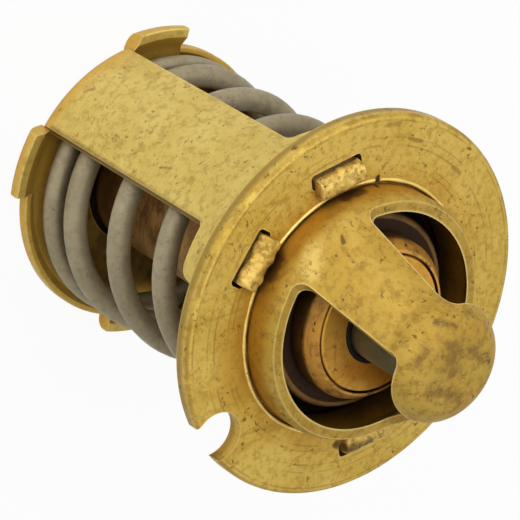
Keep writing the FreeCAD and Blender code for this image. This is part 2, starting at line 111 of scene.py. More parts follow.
class Node(Enum):
    """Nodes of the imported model."""

    FLANGE_PLATE = "flange_plate"
    BRIDGE = "bridge"
    CAGE = "cage"
    SPRING = "spring"
    VALVE_PLATE = "valve_plate"
    CAPSULE_CUP = "capsule_cup"
    ELEMENT_HEAD = "element_head"
    ROD = "rod"
    ROD_WIPER = "rod_wiper"
    RUBBER_BOOT = "rubber_boot"
    CHAFE_WASHER = "chafe_washer"
    WAX_CHARGE = "wax_charge"


def rgb(*levels: int) -> Rgb:
    """Turns red, green and blue as seen on screen, 0 to 255, into linear light, 0 to 1."""
    parts = (level / 255 for level in levels)
    return tuple(part / 12.92 if part <= 0.04045 else ((part + 0.055) / 1.055) ** 2.4
                 for part in parts)


def opaque(colour: Rgb) -> tuple[float, float, float, float]:
    """Adds a full alpha to a linear colour."""
    return colour[0], colour[1], colour[2], 1.0


class NodeSheet:
    """Short ways to place and join shader nodes in one tree."""

    def __init__(self, tree: Tree) -> None:
        """Starts on the node tree of a material, a world or a group."""
        self.tree = tree

    def join(self, source: Socket, target: Socket) -> None:
        """Links an output to an input."""
        self.tree.links.new(source, target)

    def feed(self, node: bpy.types.Node, inputs: dict[str | int, object]) -> None:
        """Gives a node what its inputs take.

        Args:
            node: The node.
            inputs: Sockets or plain values, by the name or number of the input.
        """
        for key, value in inputs.items():
            if isinstance(value, Socket):
                self.join(value, node.inputs[key])
            else:
                node.inputs[key].default_value = value

    def add(self, kind: str, inputs: dict[str | int, object] | None = None,
            **settings: object) -> bpy.types.Node:
        """Adds a node, sets its properties and feeds its inputs.

        Args:
            kind: The node's type name after ShaderNode.
            inputs: Sockets or plain values, by the name or number of the input.
            **settings: Properties of the node.

        Returns:
            The new node.
        """
        node = self.tree.nodes.new(f"ShaderNode{kind}")
        for name, value in settings.items():
            setattr(node, name, value)
        self.feed(node, inputs or {})
        return node

    def math(self, operation: str, first: object, second: object = 0.0,
             clamp: bool = False) -> Socket:
        """Adds a math node and gives its result."""
        return self.add("Math", {0: first, 1: second}, operation=operation,
                        use_clamp=clamp).outputs[0]

    def ramp(self, value: object, low: object, high: object, at_low: float = 0.0,
             at_high: float = 1.0) -> Socket:
        """Maps a value smoothly from the span low to high to the span at_low to at_high."""
        inputs = {0: value, 1: low, 2: high, 3: at_low, 4: at_high}
        return self.add("MapRange", inputs, interpolation_type="SMOOTHSTEP",
                        clamp=True).outputs[0]

    def mix(self, share: object, first: object, second: object) -> Socket:
        """Mixes a share of the second colour into the first."""
        return self.add("Mix", {0: share, 6: first, 7: second}, data_type="RGBA").outputs[2]

    def noise(self, place: Socket, scale: object, detail: float = 4.0,
              roughness: float = 0.55, distortion: float = 0.0) -> Socket:
        """Adds a noise texture and gives its value."""
        return self.add("TexNoise", {
            "Vector": place, "Scale": scale, "Detail": detail, "Roughness": roughness,
            "Distortion": distortion}).outputs["Fac"]

    def stretch(self, place: Socket, scale: Point) -> Socket:
        """Scales a position, so that a pattern read from it is stretched."""
        return self.add("Mapping", {"Vector": place, "Scale": scale}).outputs[0]

    def vector(self, operation: str, first: Socket, second: Socket) -> Socket:
        """Adds a vector math node and gives its vector."""
        return self.add("VectorMath", {0: first, 1: second}, operation=operation).outputs[0]

    def measure(self, operation: str, *vectors: Socket) -> Socket:
        """Adds a vector math node and gives its number."""
        return self.add("VectorMath", dict(enumerate(vectors)),
                        operation=operation).outputs["Value"]

    def layer(self, under: object, mask: Socket, share: float, colour: Rgb) -> Socket:
        """Lays a share of a colour over another, where a mask of 0 to 1 allows it."""
        return self.mix(self.math("MULTIPLY", mask, share), under, opaque(colour))

    def blend(self, share: Socket, first: Socket, second: Socket) -> Socket:
        """Mixes a share of the second shader into the first."""
        return self.add("MixShader", {0: share, 1: first, 2: second}).outputs[0]


class SharedGroup(Enum):
    """Node groups that several materials use."""

    MOTTLE = "metal_mottle"
    GRAIN = "sheet_grain"
    EDGES = "bright_edges"
    SCRATCHES = "scratches"
    HOLLOWS = "hollow_painted_shade"
    SPOT = "local_spot"
    RING = "ring_line"
    BAND = "height_band"


class GroupLibrary:
    """Builds each shared node group once."""

    clusters_per_cloud: float = 3.0
    coarse_scale: float = 0.2
    pit_share: float = 0.55
    rubbed_least: float = 0.5
    scratch_turns: tuple[float, ...] = (0.5, 2.1)
    scratch_stretches: tuple[float, ...] = (0.06, 0.10)
    noise_middle: float = 0.5
    hollow_wander: float = 0.25
    band_wander: float = 0.6 * MM

    def __init__(self) -> None:
        """Builds all the groups."""
        self.groups: dict[SharedGroup, Tree] = {}
        for build in (self._mottle, self._grain, self._edges, self._scratches, self._hollows,
                      self._spot, self._ring, self._band):
            build()

    def _new(self, group: SharedGroup, outputs: tuple[str, ...], **inputs: float | Point
             ) -> tuple[NodeSheet, bpy.types.NodeOutputs, bpy.types.NodeInputs]:
        """Starts and keeps a group with named sockets.

        Args:
            group: Which group, which also gives its name.
            outputs: Names of the number outputs.
            **inputs: Starting values of the inputs, with spaces in their names as underscores.

        Returns:
            The sheet, the sockets that the group is given and those that it gives.
        """
        tree = bpy.data.node_groups.new(group.value, "ShaderNodeTree")
        self.groups[group] = tree
        tree.interface.new_socket("Position", in_out="INPUT", socket_type="NodeSocketVector")
        for name, value in inputs.items():
            kind = "NodeSocketVector" if isinstance(value, tuple) else "NodeSocketFloat"
            socket = tree.interface.new_socket(name.replace("_", " "), in_out="INPUT",
                                               socket_type=kind)
            socket.default_value = value
        for name in outputs:
            tree.interface.new_socket(name, in_out="OUTPUT", socket_type="NodeSocketFloat")
        start, end = tree.nodes.new("NodeGroupInput"), tree.nodes.new("NodeGroupOutput")
        return NodeSheet(tree), start.outputs, end.inputs

    def _mottle(self) -> None:
        """Builds wide clouds, fine mottling and clusters of small dark pits, as masks."""
        sheet, start, end = self._new(
            SharedGroup.MOTTLE, ("Cloud", "Mottle", "Specks"), Seed=0.0, Cloud_Scale=170.0,
            Mottle_Scale=1100.0, Speck_Scale=2300.0)
        place = sheet.vector("ADD", start["Position"], start["Seed"])
        cloud = sheet.noise(place, start["Cloud Scale"], roughness=0.6, distortion=0.3)
        fine = sheet.noise(place, start["Mottle Scale"], detail=5.0, roughness=0.72,
                           distortion=0.2)
        pits = sheet.noise(place, start["Speck Scale"], detail=2.0, roughness=0.6,
                           distortion=0.3)
        cluster_scale = sheet.math("MULTIPLY", start["Cloud Scale"], self.clusters_per_cloud)
        clusters = sheet.noise(place, cluster_scale, detail=2.0, roughness=0.5)
        specks = sheet.math("MULTIPLY", sheet.ramp(pits, low=0.60, high=0.67),
                            sheet.ramp(clusters, low=0.46, high=0.60, at_low=0.15))
        sheet.join(sheet.ramp(cloud, low=0.40, high=0.62), end["Cloud"])
        sheet.join(sheet.ramp(fine, low=0.46, high=0.64), end["Mottle"])
        sheet.join(specks, end["Specks"])

    def _grain(self) -> None:
        """Builds the fine pitting of sheet metal over coarser unevenness."""
        sheet, start, end = self._new(SharedGroup.GRAIN, ("Height", "Tone"), Scale=2400.0)
        pits = sheet.noise(start["Position"], start["Scale"], roughness=0.7)
        coarse_scale = sheet.math("MULTIPLY", start["Scale"], self.coarse_scale)
        coarse = sheet.noise(start["Position"], coarse_scale, detail=3.0, roughness=0.5)
        height = sheet.math("ADD", sheet.math("MULTIPLY", pits, self.pit_share),
                            sheet.math("MULTIPLY", coarse, 1.0 - self.pit_share))
        sheet.join(height, end["Height"])
        sheet.join(sheet.ramp(pits, low=0.38, high=0.62), end["Tone"])

    def _edges(self) -> None:
        """Builds a mask of the sharp edges, where stain has rubbed off."""
        sheet, start, end = self._new(SharedGroup.EDGES, ("Edge",), Width=0.3 * MM)
        bevel = sheet.add("Bevel", {"Radius": start["Width"]}, samples=6)
        true_normal = sheet.add("NewGeometry").outputs["Normal"]
        bent = sheet.math("SUBTRACT", 1.0,
                          sheet.measure("DOT_PRODUCT", bevel.outputs[0], true_normal))
        rough = sheet.noise(start["Position"], scale=1300.0, detail=3.0)
        worn = sheet.math("MULTIPLY", bent, sheet.math("ADD", rough, self.rubbed_least))
        sheet.join(sheet.ramp(worn, low=0.01, high=0.12), end["Edge"])

    def _scratches(self) -> None:
        """Builds a mask of short thin scratches in two directions."""
        sheet, start, end = self._new(SharedGroup.SCRATCHES, ("Scratch",), Scale=900.0)
        ways = []
        for turn, stretch in zip(self.scratch_turns, self.scratch_stretches):
            turned = sheet.add("VectorRotate", {"Vector": start["Position"], "Angle": turn},
                               rotation_type="Z_AXIS").outputs[0]
            lines = sheet.noise(sheet.stretch(turned, (1.0, stretch, 1.0)), start["Scale"],
                                detail=2.0, roughness=0.5, distortion=0.2)
            ways.append(sheet.ramp(lines, low=0.66, high=0.71))
        sheet.join(sheet.math("MAXIMUM", *ways), end["Scratch"])

    def _hollows(self) -> None:
        """Builds masks of the corners and hollows, where shade is painted in along with some
        tarnish.
        """
        sheet, start, end = self._new(SharedGroup.HOLLOWS, ("Corner", "Deep"), Reach=6.0 * MM)
        openness = sheet.add("AmbientOcclusion", {"Distance": start["Reach"]}, samples=8)
        rough = sheet.noise(start["Position"], scale=500.0, roughness=0.6)
        off = sheet.math("SUBTRACT", rough, self.noise_middle)
        shift = sheet.math("MULTIPLY", off, self.hollow_wander)
        value = sheet.math("ADD", openness.outputs["AO"], shift)
        for name, low, high in (("Corner", 0.45, 0.80), ("Deep", 0.12, 0.48)):
            sheet.join(sheet.ramp(value, low, high, at_low=1.0, at_high=0.0), end[name])

    def _spot(self) -> None:
        """Builds a mask of a ragged spot or a stroke round a short line."""
        sheet, start, end = self._new(
            SharedGroup.SPOT, ("Mask",), Start=(0.0, 0.0, 0.0), Run=(0.0, 0.0, 0.0),
            Run_Squared=1.0, Radius=1.0 * MM, Ragged=0.8)
        away = sheet.vector("SUBTRACT", start["Position"], start["Start"])
        along = sheet.math("DIVIDE", sheet.measure("DOT_PRODUCT", away, start["Run"]),
                           start["Run Squared"], clamp=True)
        nearest = sheet.add("VectorMath", {0: start["Run"], "Scale": along},
                            operation="SCALE").outputs[0]
        rest = sheet.measure("LENGTH", sheet.vector("SUBTRACT", away, nearest))
        ragged = sheet.math("MULTIPLY", sheet.noise(start["Position"], scale=1500.0,
                                                    roughness=0.7), start["Ragged"])
        reach = sheet.math("ADD", sheet.math("DIVIDE", rest, start["Radius"]), ragged)
        sheet.join(sheet.ramp(reach, low=0.7, high=1.35, at_low=1.0, at_high=0.0), end["Mask"])

    def _ring(self) -> None:
        """Builds a mask of a broken line round the part's axis."""
        sheet, start, end = self._new(SharedGroup.RING, ("Mask",), Radius=10.0 * MM,
                                      Width=0.2 * MM, Broken=0.5)
        flat = sheet.stretch(start["Position"], (1.0, 1.0, 0.0))
        off = sheet.math("ABSOLUTE", sheet.math("SUBTRACT", sheet.measure("LENGTH", flat),
                                                start["Radius"]))
        line = sheet.ramp(sheet.math("DIVIDE", off, start["Width"]), low=0.5, high=1.0,
                          at_low=1.0, at_high=0.0)
        gaps = sheet.ramp(sheet.noise(flat, scale=260.0, detail=3.0, roughness=0.6),
                          low=0.44, high=0.56)
        kept = sheet.math("SUBTRACT", 1.0, sheet.math("MULTIPLY", gaps, start["Broken"]))
        sheet.join(sheet.math("MULTIPLY", line, kept), end["Mask"])

    def _band(self) -> None:
        """Builds a mask that grows between two heights."""
        sheet, start, end = self._new(SharedGroup.BAND, ("Mask",), None_At=1.0, Full_At=0.0)
        height = sheet.add("SeparateXYZ", {0: start["Position"]}).outputs["Z"]
        wave = sheet.math("MULTIPLY", sheet.noise(start["Position"], scale=350.0,
                                                  roughness=0.6), self.band_wander)
        sheet.join(sheet.ramp(sheet.math("ADD", height, wave), start["None At"],
                              start["Full At"]), end["Mask"])


class Surface(NodeSheet):
    """The node sheet of one material, with the shared groups at hand."""

    def __init__(self, tree: Tree, library: GroupLibrary) -> None:
        """Starts on a material's tree.

        Args:
            tree: The tree.
            library: The shared groups.
        """
        super().__init__(tree)
        self.groups = library.groups
        self.position = self.add("TexCoord").outputs["Object"]

    def place(self, group: SharedGroup, position: Socket | None = None,
              **values: object) -> bpy.types.NodeOutputs:
        """Places a shared group.

        Args:
            group: Which group.
            position: Where its pattern is read, if not at the plain position.
            **values: Values of its inputs, with spaces in their names as underscores.

        Returns:
            What the group gives.
        """
        node = self.add("Group", node_tree=self.groups[group])
        self.feed(node, {"Position": position or self.position})
        self.feed(node, {name.replace("_", " "): value for name, value in values.items()})
        return node.outputs


class Mark:
    """A local mark, in millimetres, that a finish lays over its metal."""

    group: SharedGroup
    colour: Rgb
    share: float

    def values(self) -> dict[str, object]:
        """Gives the values of the group's inputs."""
        raise NotImplementedError

    def layer(self, surface: Surface) -> tuple[Socket, float, Rgb]:
        """Adds the mark's nodes and gives its mask, share and colour."""
        return surface.place(self.group, **self.values())["Mask"], self.share, self.colour


@dataclass(frozen=True)
class Spot(Mark):
    """A ragged spot, or a stroke between two points."""

    start: Point
    radius: float
    colour: Rgb
    share: float = 0.7
    end: Point | None = None
    ragged: float = 0.9
    group = SharedGroup.SPOT

    def values(self) -> dict[str, object]:
        """Gives the place, the run and the edge of the spot.

        Returns:
            A value for each input of its group.
        """
        start = Vector(self.start) * MM
        run = Vector(self.end or self.start) * MM - start
        return {"Start": start, "Run": run, "Run_Squared": run.length_squared or 1.0,
                "Radius": self.radius * MM, "Ragged": self.ragged}


@dataclass(frozen=True)
class RingLine(Mark):
    """A line round the axis."""

    radius: float
    width: float
    colour: Rgb
    share: float = 0.5
    broken: float = 0.5
    group = SharedGroup.RING

    def values(self) -> dict[str, object]:
        """Gives the line's radius, width and gaps."""
        return {"Radius": self.radius * MM, "Width": self.width * MM, "Broken": self.broken}


@dataclass(frozen=True)
class HeightBand(Mark):
    """A tone that grows between two heights."""

    none_at: float
    full_at: float
    colour: Rgb
    share: float = 0.5
    group = SharedGroup.BAND

    def values(self) -> dict[str, object]:
        """Gives the band's two heights."""
        return {"None_At": self.none_at * MM, "Full_At": self.full_at * MM}


@dataclass(frozen=True)
class Finish:
    """A soft or waxy finish with a slight change of tone, and the base of the metals."""

    name: str
    base: Rgb
    light: Rgb
    roughness: float = 0.6
    specular: float = 0.2
    metallic: float = 0.0
    grain_depth: float = 0.02 * MM
    relief: float = 0.4

    def _colour(self, surface: Surface, grain: Socket) -> Socket:
        """Mixes the two tones by the grain."""
        return surface.mix(grain, opaque(self.base), opaque(self.light))

    def _roughness(self, surface: Surface, height: Socket) -> object:
        """Gives one roughness for the whole surface."""
        return self.roughness

    def build(self, library: GroupLibrary) -> bpy.types.Material:
        """Makes the material.

        Args:
            library: The shared node groups.

        Returns:
            The material.
        """
        material = bpy.data.materials.new(self.name)
        material.use_nodes = True
        surface = Surface(material.node_tree, library)
        grain = surface.place(SharedGroup.GRAIN)
        bump = surface.add("Bump", {
            "Strength": self.relief, "Distance": self.grain_depth, "Height": grain["Height"]})
        surface.feed(material.node_tree.nodes["Principled BSDF"], {
            "Base Color": self._colour(surface, grain["Tone"]),
            "Metallic": self.metallic,
            "Specular IOR Level": self.specular,
            "Roughness": self._roughness(surface, grain["Height"]),
            "Normal": bump.outputs["Normal"],
        })
        return material


@dataclass(frozen=True, kw_only=True)
class StainedMetal(Finish):
    """A pressed or drawn metal with mottling, pits, painted shade in its hollows and bright edges.
    """

    stain: Rgb
    speck: Rgb
    # Colours of painted shade: in corners, and darker in deep hollows.
    corner: Rgb
    deep_shade: Rgb
    washes: tuple[Mark, ...] = ()
    marks: tuple[Mark, ...] = ()
    edge: Rgb = (0.80, 0.62, 0.22)
    metallic: float = 0.5
    specular: float = 0.25
    roughness: float = 0.47
    polished: float = 0.05
    dulled: float = 0.07
    relief: float = 0.6
    grain_share: float = 0.3
    light_share: float = 0.6
    mottle_share: float = 0.5
    scratch_share: float = 0.4
    speck_share: float = 0.75
    edge_share: float = 0.5
    edge_width: float = 0.25 * MM
    corner_shade_share: float = 0.75
    deep_shade_share: float = 0.9
    cloud_scale: float = 170.0
    mottle_scale: float = 1100.0
    speck_scale: float = 2300.0
    flow: Point = (1.0, 1.0, 1.0)
    seed: float = 0.0

    def _colour(self, surface: Surface, grain: Socket) -> Socket:
        """Lays the tones over each other, from the widest to the finest.

        Args:
            surface: The material's nodes.
            grain: The tone of the grain, 0 to 1.

        Returns:
            The finished colour.
        """
        flowing = surface.stretch(surface.position, self.flow)
        mottle = surface.place(SharedGroup.MOTTLE, flowing, Seed=self.seed,
                               Cloud_Scale=self.cloud_scale, Mottle_Scale=self.mottle_scale,
                               Speck_Scale=self.speck_scale)
        edges = surface.place(SharedGroup.EDGES, Width=self.edge_width)
        scratches = surface.place(SharedGroup.SCRATCHES)
        hollows = surface.place(SharedGroup.HOLLOWS)
        tone: object = opaque(self.base)
        for mask, share, colour in (
                (grain, self.grain_share, self.light),
                (mottle["Cloud"], self.light_share, self.light),
                *(wash.layer(surface) for wash in self.washes),
                (mottle["Mottle"], self.mottle_share, self.stain),
                (scratches["Scratch"], self.scratch_share, self.stain),
                (mottle["Specks"], self.speck_share, self.speck),
                # Painted shade in the corners.
                (hollows["Corner"], self.corner_shade_share, self.corner),
                *(mark.layer(surface) for mark in self.marks),
                (edges["Edge"], self.edge_share, self.edge),
                # Painted shade, darkest in deep hollows.
                (hollows["Deep"], self.deep_shade_share, self.deep_shade)):
            tone = surface.layer(tone, mask, share, colour)
        return tone

    def _roughness(self, surface: Surface, height: Socket) -> object:
        """Makes the high grains duller than the low ones."""
        return surface.ramp(height, low=0.35, high=0.65, at_low=self.roughness - self.polished,
                            at_high=self.roughness + self.dulled)


# A mark's numbers stand in the order of its fields, with places and widths in millimetres.
BRASS_DARK = rgb(86, 58, 26)
BRASS_BROWN = rgb(134, 98, 40)
BRASS_AMBER = rgb(182, 130, 28)
BRASS_BRIGHT = rgb(240, 214, 128)
DEEP_BROWN = rgb(30, 19, 12)
# Brown of the painted shadow beside the tabs.
TAB_SHADOW_BROWN = rgb(84, 44, 14)
NOSE_STAIN = rgb(116, 84, 40)

FLANGE_BRASS = StainedMetal(
    name="flange_brass",
    base=rgb(200, 166, 68), light=rgb(218, 187, 94), stain=rgb(162, 126, 42),
    speck=rgb(92, 64, 28), corner=BRASS_AMBER, deep_shade=DEEP_BROWN,
    mottle_share=0.55, mottle_scale=1350.0, corner_shade_share=0.65,
    washes=(
        HeightBand(1.3, 0.7, rgb(126, 98, 44), 0.65),
        # Painted shade: amber round the hole and on the flange's +Y side.
        RingLine(12.45, 1.30, BRASS_AMBER, 0.40, 0.8),
        Spot((2.5, 12.8, 1.4), 2.60, BRASS_AMBER, 0.45, (7.5, 10.6, 1.4), 0.8),
        Spot((0.3, 16.3, 1.4), 2.95, BRASS_AMBER, 0.55, ragged=0.5),
    ),
    marks=(
        RingLine(12.9, 0.10, BRASS_BROWN, 0.45, 0.9),
        RingLine(13.4, 0.08, BRASS_BROWN, 0.40, 0.9),
        RingLine(14.7, 0.12, BRASS_BROWN, 0.45, 0.9),
        RingLine(15.4, 0.08, BRASS_BROWN, 0.35, 0.9),
        RingLine(16.9, 0.10, BRASS_BROWN, 0.45, 0.7),
        RingLine(17.35, 0.16, BRASS_BROWN, 0.5, 0.7),
        Spot((8.95, -7.85, 1.4), 0.20, DEEP_BROWN, 0.95, (8.75, -7.50, 1.4), 0.3),
        Spot((-0.4, 13.5, 1.4), 0.32, BRASS_DARK, 0.8),
        Spot((-2.3, 14.8, 1.4), 0.30, BRASS_DARK, 0.8),
        Spot((-10.4, 7.8, 1.4), 0.60, BRASS_DARK, 0.85, (-11.4, 7.4, 1.4)),
        Spot((2.5, -14.5, 1.4), 0.35, BRASS_BROWN, 0.6, (3.6, -14.2, 1.4)),
        Spot((8.4, -12.8, 1.4), 0.30, BRASS_BROWN, 0.6, (9.6, -12.0, 1.4)),
        Spot((12.4, -10.9, 1.4), 0.40, BRASS_BROWN, 0.5, (11.6, -11.9, 1.4)),
    ),
)
BURR_BRASS = StainedMetal(
    name="burr_brass",
    base=rgb(238, 212, 118), light=rgb(250, 230, 146), stain=rgb(212, 174, 76),
    speck=rgb(140, 100, 36), corner=rgb(222, 184, 84), deep_shade=rgb(150, 104, 36),
    marks=(Spot((8.95, -7.85, 1.5), 0.30, DEEP_BROWN, 0.97, (8.60, -7.15, 1.4), 0.3),),
    corner_shade_share=0.4, edge_share=0.0, deep_shade_share=0.6, seed=2.6,
)
HAMMERED_BRASS = StainedMetal(
    name="hammered_brass",
    base=rgb(196, 160, 70), light=rgb(232, 202, 116), stain=rgb(138, 102, 36),
    speck=rgb(84, 56, 24), corner=rgb(168, 118, 36), deep_shade=rgb(60, 38, 16),
    marks=(Spot((-11.0, 7.4, 2.0), 0.80, BRASS_DARK, 0.85, (-12.2, 5.4, 2.0), 0.7),),
    mottle_share=0.8, mottle_scale=1500.0, speck_share=0.9, corner_shade_share=0.5,
    grain_depth=0.08 * MM, seed=8.3,
)
RESIDUE = StainedMetal(
    name="seam_residue",
    base=rgb(156, 106, 34), light=rgb(186, 134, 52), stain=rgb(112, 72, 24),
    speck=rgb(70, 42, 18), corner=rgb(140, 92, 28), deep_shade=rgb(96, 60, 22),
    metallic=0.15, roughness=0.6, corner_shade_share=0.5, deep_shade_share=0.5, edge_share=0.0,
    mottle_share=0.8, seed=4.4,
)
BRIDGE_BRASS = StainedMetal(
    name="bridge_brass",
    base=rgb(176, 141, 52), light=rgb(196, 163, 74), stain=rgb(138, 103, 36),
    speck=rgb(86, 60, 26), corner=rgb(168, 112, 26), deep_shade=DEEP_BROWN,
    metallic=0.35, roughness=0.55, mottle_share=0.58, mottle_scale=1200.0, edge_share=0.85,
    edge_width=0.3 * MM, corner_shade_share=0.6, grain_depth=0.05 * MM,
    washes=(
        # Painted shade: amber towards the foot of the bridge wall.
        HeightBand(4.6, 2.6, BRASS_AMBER, 0.75),
        Spot((10.1, 2.9, 5.0), 1.40, BRASS_BRIGHT, 0.35, (10.9, 1.4, 4.2)),
    ),
    marks=(
        # Painted shadows on the bridge beside the ends of two tabs.
        Spot((10.5, -4.2, 2.1), 1.00, TAB_SHADOW_BROWN, 0.85, (9.8, -5.6, 2.0)),
        Spot((10.0, 5.0, 2.1), 1.10, TAB_SHADOW_BROWN, 0.85, (10.6, 3.6, 2.0)),
        Spot((10.4, -1.0, 5.0), 0.42, BRASS_DARK, 0.85, (10.2, -0.7, 5.4), 1.3),
        Spot((10.0, 0.5, 5.7), 0.24, BRASS_DARK, 0.75),
        Spot((9.2, -0.1, 6.8), 0.20, BRASS_DARK, 0.6),
        Spot((4.9, -1.0, 14.1), 0.75, rgb(84, 60, 36), 0.8, (3.6, -2.0, 14.8), 1.6),
        Spot((3.1, -3.8, 14.2), 0.80, NOSE_STAIN, 0.7, ragged=1.6),
        Spot((4.1, 1.3, 14.7), 1.60, NOSE_STAIN, 0.68, (3.3, 2.7, 14.8), 1.6),
        Spot((0.4, 2.8, 15.1), 2.20, NOSE_STAIN, 0.68, (-2.5, 1.0, 15.1), 1.6),
        Spot((0.2, 0.2, 15.1), 2.40, NOSE_STAIN, 0.68, (2.4, -0.6, 15.1), 1.6),
        Spot((0.7, -1.9, 15.1), 1.60, NOSE_STAIN, 0.68, (-1.6, -2.6, 15.1), 1.6),
        Spot((8.60, -7.10, 1.6), 0.22, DEEP_BROWN, 0.9, (8.5, -7.0, 2.3), 0.3),
    ),
    seed=1.9,
)
CAGE_BRASS = StainedMetal(
    name="cage_brass",
    base=rgb(206, 178, 90), light=rgb(222, 198, 114), stain=rgb(162, 131, 52),
    speck=rgb(104, 78, 34), corner=rgb(206, 156, 46), deep_shade=rgb(92, 60, 22),
    mottle_share=0.5, speck_share=0.6, edge_share=0.7, corner_shade_share=0.75, deep_shade_share=0.5,
    grain_depth=0.03 * MM,
    marks=(
        # Painted shade: amber on the cage's base, and dark brown on its floor under the spring.
        HeightBand(-27.4, -28.4, rgb(200, 152, 54), 0.25),
        RingLine(8.2, 3.6, rgb(96, 66, 26), 0.8, 0.3),
        Spot((12.3, 5.35, -28.0), 0.75, rgb(108, 78, 28), 0.8, (12.3, 5.35, -6.0), 0.5),
        Spot((13.5, 0.8, -27.6), 0.45, BRASS_BROWN, 0.5, (13.5, 0.2, -26.9), 1.2),
        Spot((13.1, 3.4, -28.6), 0.45, BRASS_BROWN, 0.5, ragged=1.2),
        Spot((13.4, 3.2, -13.5), 0.20, BRASS_BROWN, 0.6, (13.4, 2.9, -12.9)),
        Spot((12.9, 4.9, -12.5), 0.18, BRASS_BROWN, 0.6),
    ),
    seed=3.7,
)
# Valve plate: brass painted dark brown for the shade it sits in, with tan rings as painted
# highlights on its shoulders.
PLATE_BRASS = StainedMetal(
    name="painted_shade_plate",
    base=rgb(54, 35, 20), light=rgb(76, 52, 30), stain=rgb(38, 24, 14),
    speck=rgb(24, 16, 10), corner=rgb(44, 27, 16), deep_shade=rgb(22, 14, 9),
    marks=(
        # Painted highlights on the plate's rounded shoulders.
        RingLine(8.75, 0.40, rgb(168, 126, 72), 0.65, 0.3),
        RingLine(9.95, 0.30, rgb(130, 94, 52), 0.5, 0.4),
    ),
    metallic=0.1, specular=0.12, roughness=0.6, edge_share=0.2, edge=rgb(120, 86, 48), seed=7.1,
)
CAPSULE_METAL = StainedMetal(
    name="capsule_copper",
    base=rgb(132, 92, 44), light=rgb(196, 150, 82), stain=rgb(88, 54, 26),
    speck=rgb(46, 29, 16), corner=rgb(106, 70, 30), deep_shade=rgb(52, 32, 16),
    washes=(HeightBand(1.2, 2.4, rgb(208, 150, 60), 1.0),),
    edge=rgb(220, 170, 92), roughness=0.45, specular=0.3, mottle_share=0.6, speck_share=0.95,
    flow=(0.5, 0.5, 1.3), cloud_scale=420.0, speck_scale=1900.0, seed=11.3,
)
HEAD_METAL = StainedMetal(
    name="head_brass",
    base=rgb(216, 158, 58), light=rgb(230, 176, 78), stain=rgb(174, 112, 26),
    speck=rgb(96, 58, 22), corner=rgb(184, 118, 26), deep_shade=rgb(110, 64, 18),
    marks=(Spot((-1.0, 4.6, 5.0), 1.60, rgb(186, 104, 14), 0.5, (-4.0, 2.4, 5.0), 1.0),),
    edge=rgb(222, 172, 88), mottle_share=0.4, deep_shade_share=0.7, seed=5.2,
)
SPRING_WIRE = StainedMetal(
    name="spring_wire",
    base=rgb(152, 140, 110), light=rgb(172, 160, 130), stain=rgb(130, 117, 88),
    speck=rgb(96, 84, 60), corner=rgb(86, 71, 46), deep_shade=rgb(42, 33, 22),
    metallic=0.3, roughness=0.5, mottle_share=0.4, speck_share=0.4, edge_share=0.0,
    corner_shade_share=0.7, seed=9.4,
)
ROD_STEEL = StainedMetal(
    name="rod_steel",
    base=rgb(104, 96, 68), light=rgb(124, 116, 88), stain=rgb(86, 77, 52),
    speck=rgb(54, 46, 32), corner=rgb(80, 69, 44), deep_shade=rgb(40, 32, 20),
    edge=rgb(140, 128, 92), roughness=0.38, mottle_share=0.3, speck_share=0.3, edge_share=0.2,
    seed=13.9,
)
RUBBER = Finish("soft_rubber", rgb(20, 15, 10), rgb(34, 27, 18), 0.85)
WASHER_PLASTIC = Finish("washer_plastic", rgb(205, 200, 188), rgb(226, 222, 210), 0.5)
WAX = Finish("element_wax", rgb(196, 178, 128), rgb(222, 206, 160), 0.5)


class Finishes:
    """Builds each material once."""

    def __init__(self) -> None:
        """Builds the shared groups."""
        self.library = GroupLibrary()
        self.made: dict[str, bpy.types.Material] = {}

    def get(self, finish: Finish) -> bpy.types.Material:
        """Gives the material of a finish.

        Args:
            finish: The finish.

        Returns:
            Its material.
        """
        if finish.name not in self.made:
            self.made[finish.name] = finish.build(self.library)
        return self.made[finish.name]


def round_axis(angle: float, radius: float, height: float = 0.0) -> Vector:
    """Gives the point at an angle, radius and height round the part's axis."""
    return Vector((radius * math.cos(angle), radius * math.sin(angle), height))


def rough_at(point: Vector, size: float, shift: Point = (0.0, 0.0, 0.0)) -> float:
    """Reads a smooth random value, about -1 to 1, with lumps of a size in millimetres."""
    return noise.noise((point + Vector(shift)) / size)


def skin_mesh(name: str, rows: list[list[Vector]], ring: bool = False) -> bpy.types.Mesh:
    """Makes a closed skin over rows of points.

    Args:
        name: Name of the mesh.
        rows: Rows of points in millimetres, each a closed loop.
        ring: Whether the last row joins the first. Otherwise both ends are closed.

    Returns:
        The mesh, in metres.
    """
    build = bmesh.new()
    loops = [[build.verts.new(point * MM) for point in row] for row in rows]
    for before, after in zip(loops, loops[1:] + loops[:1] if ring else loops[1:]):
        for index, vertex in enumerate(before):
            follow = (index + 1) % len(before)
            build.faces.new((vertex, before[follow], after[follow], after[index])).smooth = True
    if not ring:
        build.faces.new(loops[0])
        build.faces.new(loops[-1])
    bmesh.ops.recalc_face_normals(build, faces=build.faces)
    mesh = bpy.data.meshes.new(name)
    build.to_mesh(mesh)
    build.free()
    return mesh


